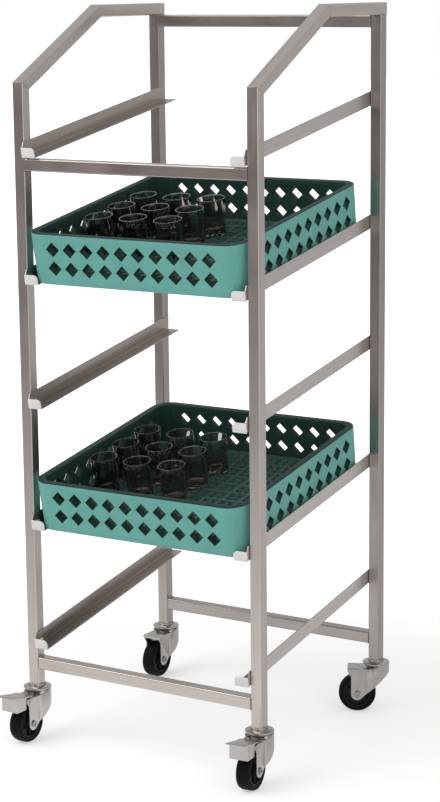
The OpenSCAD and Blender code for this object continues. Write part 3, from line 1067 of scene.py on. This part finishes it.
@dataclass
class Tumbler:
    """A pressed tumbler with a thick base and a rounded rim. Its sizes are millimetres."""

    foot_radius: float = 25.0
    flare: float = 4.5
    height: float = 78.0
    wall: float = 2.0
    base: float = 9.0
    foot: Profile = ((0.0, 0.9), (19.0, 0.8), (22.0, 0.1), (23.8, 0.0), (24.7, 0.5), (25.1, 1.6))
    outer_shares: tuple[float, ...] = (0.25, 0.5, 0.75, 0.985)
    rim: Profile = ((29.35, 77.6), (28.9, 77.95), (28.3, 77.95), (27.75, 77.6), (27.5, 76.8))
    inner_shares: tuple[float, ...] = (0.75, 0.5, 0.25, 0.06)
    bottom: Profile = ((22.6, 10.3), (21.4, 9.3), (19.5, 9.0), (0.0, 8.8))
    steps: int = 72

    def build(self, place: Matrix) -> bmesh.types.BMesh:
        """Make one tumbler.

        Args:
            place: Where the middle of its foot goes.

        Returns:
            The tumbler's mesh.
        """
        bore = self.foot_radius - self.wall
        depth = self.height - self.base
        outside = [
            (self.foot_radius + self.flare * share, self.height * share) for share in self.outer_shares
        ]
        inside = [(bore + self.flare * share, self.base + depth * share) for share in self.inner_shares]
        points = (*self.foot, *outside, *self.rim, *inside, *self.bottom)
        profile = [(radius * MM, height * MM) for radius, height in points]
        return lathe(profile, self.steps, place, closed=False)


@dataclass
class GlassRack:
    """A moulded rack on the runners with its nine tumblers."""

    name: str
    runners: RunnerSet
    level: int
    rim_clarity: float
    along: float = 253.8 * MM
    above: float = 2.3 * MM
    edge: float = 0.5 * MM
    edge_steps: int = 2
    half: float = 250 * MM
    height: float = 103 * MM
    draft: float = 2.3 * MM
    corner: float = 42 * MM
    skin: float = 1.6 * MM
    floor: float = 12 * MM
    play: float = 0.1 * MM
    cell: float = 40.5 * MM
    cells: int = 11
    rib: float = 2.5 * MM
    rib_drop: float = 2.0 * MM
    first_glass: tuple[float, float] = (-200.7 * MM, -54 * MM)
    glass_pitch: float = 84 * MM
    glass_rows: int = 3
    rim_height: float = 77.0 * MM
    rim_gloss: float = 0.12

    def build(self) -> None:
        """Build the rack, its fine floor ribs and its tumblers."""
        node = f"{self.name}_rack"
        origin = self.runners.point(self.level, Vector((0.0, self.along, self.above)))
        place = Matrix.Translation(origin) @ Matrix.Rotation(TILT, 4, "X")
        inverse = place.inverted()

        def part(face: bmesh.types.BMFace) -> int:
            """Give the place of the finish of a rack's face."""
            return self.surface(inverse @ face.calc_center_median())

        def rim(face: bmesh.types.BMFace) -> int:
            """Give 1 for a face of a tumbler's rim, which takes a painted highlight, and 0 for the rest."""
            return int((inverse @ face.calc_center_median()).z > self.floor + self.rim_height)

        # The inside and the floor, ribs too, take darker copies of the plastic as painted shade
        finishes = [RACK_OUTSIDE, RACK_INSIDE_PAINTED_SHADE, RACK_FLOOR_PAINTED_SHADE]
        basket = softened(node, self.edge, self.edge_steps)
        piece(f"{self.name}_basket", basket, finishes, node, [node], part)
        piece(f"{self.name}_floor_ribs", self.floor_ribs(place), [RACK_FLOOR_PAINTED_SHADE], node)
        stand = place @ Vector((0.0, 0.0, self.floor))
        # The tumblers' glass carries painted shade, darkest at the foot
        glass = ShadeTintedGlass(f"{self.name}_glass", BODY_PAINTED_SHADE, 0.0, FOOT_PAINTED_SHADE, CLEAR, stand)
        # The rims are partly pale, a painted highlight
        pale_rim_glass = ShadeTintedGlass(
            f"{self.name}_rim_glass", CLEAR, self.rim_gloss, CLEAR, CLEAR, stand, self.rim_clarity
        )
        tumblers = self.tumblers(place)
        nodes = [f"{self.name}_glasses"]
        piece(f"{self.name}_tumblers", tumblers, [glass, pale_rim_glass], node, nodes, rim)

    def floor_ribs(self, place: Matrix) -> bmesh.types.BMesh:
        """Make the fine ribs that halve the floor's cells both ways.

        Args:
            place: The rack's own axes.

        Returns:
            The ribs' mesh.
        """
        size = (self.cells * self.cell, self.rib, self.floor - 2 * self.rib_drop)
        bars = []
        for number in range(self.cells):
            offset = (number - (self.cells - 1) / 2) * self.cell
            for turn in (0.0, math.pi / 2):
                turned = place @ Matrix.Rotation(turn, 4, "Z")
                spot = Matrix.Translation((0.0, offset, self.floor / 2))
                bars.append(block(size, turned @ spot, self.edge, self.edge_steps))
        return joined(bars)

    def tumblers(self, place: Matrix) -> bmesh.types.BMesh:
        """Stand the tumblers on the rack's floor.

        Args:
            place: The rack's own axes.

        Returns:
            The tumblers' mesh.
        """
        glasses = []
        for column in range(self.glass_rows):
            for row in range(self.glass_rows):
                x = self.first_glass[0] + column * self.glass_pitch
                y = self.first_glass[1] + row * self.glass_pitch
                spot = place @ Matrix.Translation((x, y, self.floor + self.play))
                glasses.append(Tumbler().build(spot))
        return joined(glasses)

    def surface(self, point: Vector) -> RackFace:
        """Tell which part of the rack's surface a point is on.

        Args:
            point: The point in the rack's own axes.

        Returns:
            The part of the surface.
        """
        lean = self.draft * (1 - point.z / self.height)
        inner = self.half - self.corner
        across = Vector((max(abs(point.x) - inner, 0.0), max(abs(point.y) - inner, 0.0)))
        if across.length > self.corner - lean - self.skin:
            return RackFace.OUTSIDE
        return RackFace.FLOOR if point.z < self.floor + self.play else RackFace.INSIDE


@dataclass(frozen=True)
class Lamp:
    """A square soft lamp, with its power in watts."""

    name: str
    place: Point
    size: float
    power: float
    aim: Point = (0.0, 0.0, 0.7)

    def build(self) -> None:
        """Hang the lamp so that it faces the dolly."""
        data = bpy.data.lights.new(self.name, "AREA")
        data.size = self.size
        data.energy = self.power
        made = bpy.data.objects.new(self.name, data)
        made.location = self.place
        made.visible_camera = False
        made.rotation_euler = (Vector(self.place) - Vector(self.aim)).to_track_quat("Z", "Y").to_euler()
        bpy.context.scene.collection.objects.link(made)


@dataclass
class Studio:
    """A pale floor, soft light, a white background and the camera."""

    camera_place: Point = (2.2979, -3.632775, 1.5519)
    azimuth: float = math.radians(31.643)
    elevation: float = math.radians(11.141)
    roll: float = math.radians(-0.581)
    lens: float = 95.6
    sensor: float = 36.0
    sight: float = 200.0
    lamps: tuple[Lamp, ...] = (
        Lamp("key_light", (-2.6, -3.4, 4.2), 4.6, 125.0),
        Lamp("fill_light", (3.4, -2.2, 2.4), 3.6, 36.0),
    )
    ambient: float = 0.5
    # The level at which steel mirrors the background, by its depth and its height
    sky_depth: Fade = (0.26, 0.60, -0.8, 0.4)
    sky_height: Fade = (0.0, 0.03, 0.4, 0.9)
    # How much of the white background glass shows
    clear_behind: Fade = (0.12, 1.0, -0.1, 0.5)
    clear_below: Fade = (1.0, 0.12, 0.05, 0.45)
    clear_aside: Fade = (0.0, 0.9, 0.6, 0.95)
    floor_radius: float = 30.0
    floor_steps: int = 96
    floor_colour: Colour = (0.8, 0.79, 0.775)
    # The floor's own glow in the view, and its level through glass, near the dolly
    floor_glow: float = 0.46
    glow_start: float = 0.3
    shade: float = 0.2
    shade_start: float = 0.5
    shade_reach: float = 2.6
    warmth: float = 0.014
    # Distance towards the front, and the level at which steel mirrors the floor there
    floor_gloss: Profile = (
        (-8.0, 0.55), (-1.5, 0.68), (-0.25, 0.64), (0.35, 1.05),
        (1.5, 0.80), (3.8, 0.43), (6.5, 0.28), (12.0, 0.2),
    )

    def build(self) -> None:
        """Build the whole studio."""
        bpy.context.scene.view_settings.view_transform = "Standard"
        self.camera()
        self.world()
        self.floor()
        for lamp in self.lamps:
            lamp.build()
        log.info("studio: camera, world, floor and lamps")

    def camera(self) -> None:
        """Make the camera at the photograph's view."""
        data = bpy.data.cameras.new("camera")
        data.lens = self.lens
        data.sensor_width = self.sensor
        data.clip_end = self.sight
        made = bpy.data.objects.new("camera", data)
        bpy.context.scene.collection.objects.link(made)
        level = math.cos(self.elevation)
        back = Vector((
            math.sin(self.azimuth) * level, -math.cos(self.azimuth) * level, math.sin(self.elevation)
        ))
        right = Vector((math.cos(self.azimuth), math.sin(self.azimuth), 0.0))
        up = back.cross(right)
        turned = Matrix((right, up, back)).transposed().to_4x4() @ Matrix.Rotation(self.roll, 4, "Z")
        made.matrix_world = Matrix.Translation(Vector(self.camera_place)) @ turned
        bpy.context.scene.camera = made

    def world(self) -> None:
        """Make a white background, and softer light for what it falls on."""
        world = bpy.data.worlds.new("studio")
        bpy.context.scene.world = world
        world.use_nodes = True
        graph = Graph(world.node_tree)
        path = graph.node("ShaderNodeLightPath").outputs
        parts = graph.split(graph.node("ShaderNodeTexCoord").outputs["Generated"])
        depth = graph.spread(parts["Y"], *self.sky_depth)
        sky = graph.combine(depth, graph.spread(parts["Z"], *self.sky_height))
        behind = graph.spread(parts["Y"], *self.clear_behind)
        below = graph.spread(parts["Z"], *self.clear_below)
        sideways = graph.node("ShaderNodeMath", {0: parts["X"]}, operation="ABSOLUTE").outputs[0]
        aside = graph.spread(sideways, *self.clear_aside)
        through = graph.combine(graph.combine(behind, below, Join.MULTIPLY), aside, Join.MAXIMUM)
        clear = graph.combine(path["Is Transmission Ray"], through, Join.MULTIPLY)
        seen = graph.combine(path["Is Camera Ray"], clear, Join.MAXIMUM)
        glossy = graph.combine(path["Is Glossy Ray"], sky, Join.MULTIPLY)
        diffuse = graph.combine(path["Is Diffuse Ray"], self.ambient, Join.MULTIPLY)
        strength = graph.combine(graph.combine(seen, glossy), diffuse)
        background = graph.node("ShaderNodeBackground", {"Color": WHITE, "Strength": strength})
        graph.node("ShaderNodeOutputWorld", {"Surface": background.outputs[0]})

    def floor(self) -> None:
        """Make a pale floor that is white where it is open and keeps a soft shadow."""
        mesh = bmesh.new()
        bmesh.ops.create_circle(mesh, cap_ends=True, segments=self.floor_steps, radius=self.floor_radius)
        data = bpy.data.meshes.new("floor")
        mesh.to_mesh(data)
        mesh.free()
        made = bpy.data.objects.new("floor", data)
        bpy.context.scene.collection.objects.link(made)
        material = bpy.data.materials.new("floor")
        material.use_nodes = True
        self.paint_floor(Graph(material.node_tree))
        data.materials.append(material)

    def paint_floor(self, graph: Graph) -> None:
        """Wire what the floor shows the camera, steel and glass.

        Args:
            graph: The floor material's node tree.
        """
        path = graph.node("ShaderNodeLightPath").outputs
        point = graph.spot()
        distance = graph.node("ShaderNodeVectorMath", {0: point}, operation="LENGTH").outputs[1]
        pale = graph.node("ShaderNodeBsdfDiffuse", {"Color": (*self.floor_colour, 1.0)}).outputs[0]
        reach = self.shade_reach
        fade = graph.spread(distance, self.floor_glow, 1.0, self.glow_start * reach, reach)
        lit = graph.node("ShaderNodeAddShader", {0: pale, 1: graph.glow(WHITE, fade)}).outputs[0]
        level = graph.spread(distance, self.shade, 1.0, self.shade_start * reach, reach)
        shown = graph.switch(path["Is Camera Ray"], pale, lit)
        through = graph.switch(path["Is Transmission Ray"], shown, graph.glow(WHITE, level))
        mirrored = graph.glow(self.floor_mirror(graph, point), 1.0)
        whole = graph.switch(path["Is Glossy Ray"], through, mirrored)
        graph.node("ShaderNodeOutputMaterial", {"Surface": whole})

    def floor_mirror(self, graph: Graph, point: Socket) -> Socket:
        """Make the colour that steel mirrors, by the distance towards the front.

        Args:
            graph: The floor material's node tree.
            point: The floor's point.

        Returns:
            The colour's socket.
        """
        first, *between, last = self.floor_gloss
        start = first[0]
        end = last[0]
        ahead = graph.dot(point, (-math.sin(self.azimuth), -math.cos(self.azimuth), 0.0))
        ramp = graph.node("ShaderNodeValToRGB", {0: graph.spread(ahead, 0.0, 1.0, start, end)})
        stops = ramp.color_ramp.elements
        for place, level in between:
            stops.new((place - start) / (end - start)).color = self.mirror_colour(place, level)
        stops[0].color = self.mirror_colour(*first)
        stops[-1].color = self.mirror_colour(*last)
        return ramp.outputs[0]

    def mirror_colour(self, place: float, level: float) -> tuple[float, float, float, float]:
        """Give the floor's mirrored colour at a place, warmer farther towards the front."""
        cool = level * (1.0 - self.warmth * max(0.0, place))
        return level, cool, cool, 1.0


def main() -> None:
    """Build the studio and every sub-assembly of the dolly in order."""
    logging.basicConfig(level=logging.INFO, format="%(name)s: %(message)s")
    Studio().build()
    SideFrame().build()
    runners = RunnerSet()
    runners.build()
    for corner, turn in CASTOR_TURNS.items():
        Castor(corner, math.radians(turn), corner in BRAKED).build()
    for name, level, clarity in RACKS:
        GlassRack(name, runners, level, clarity).build()


if __name__ == "__main__":
    main()
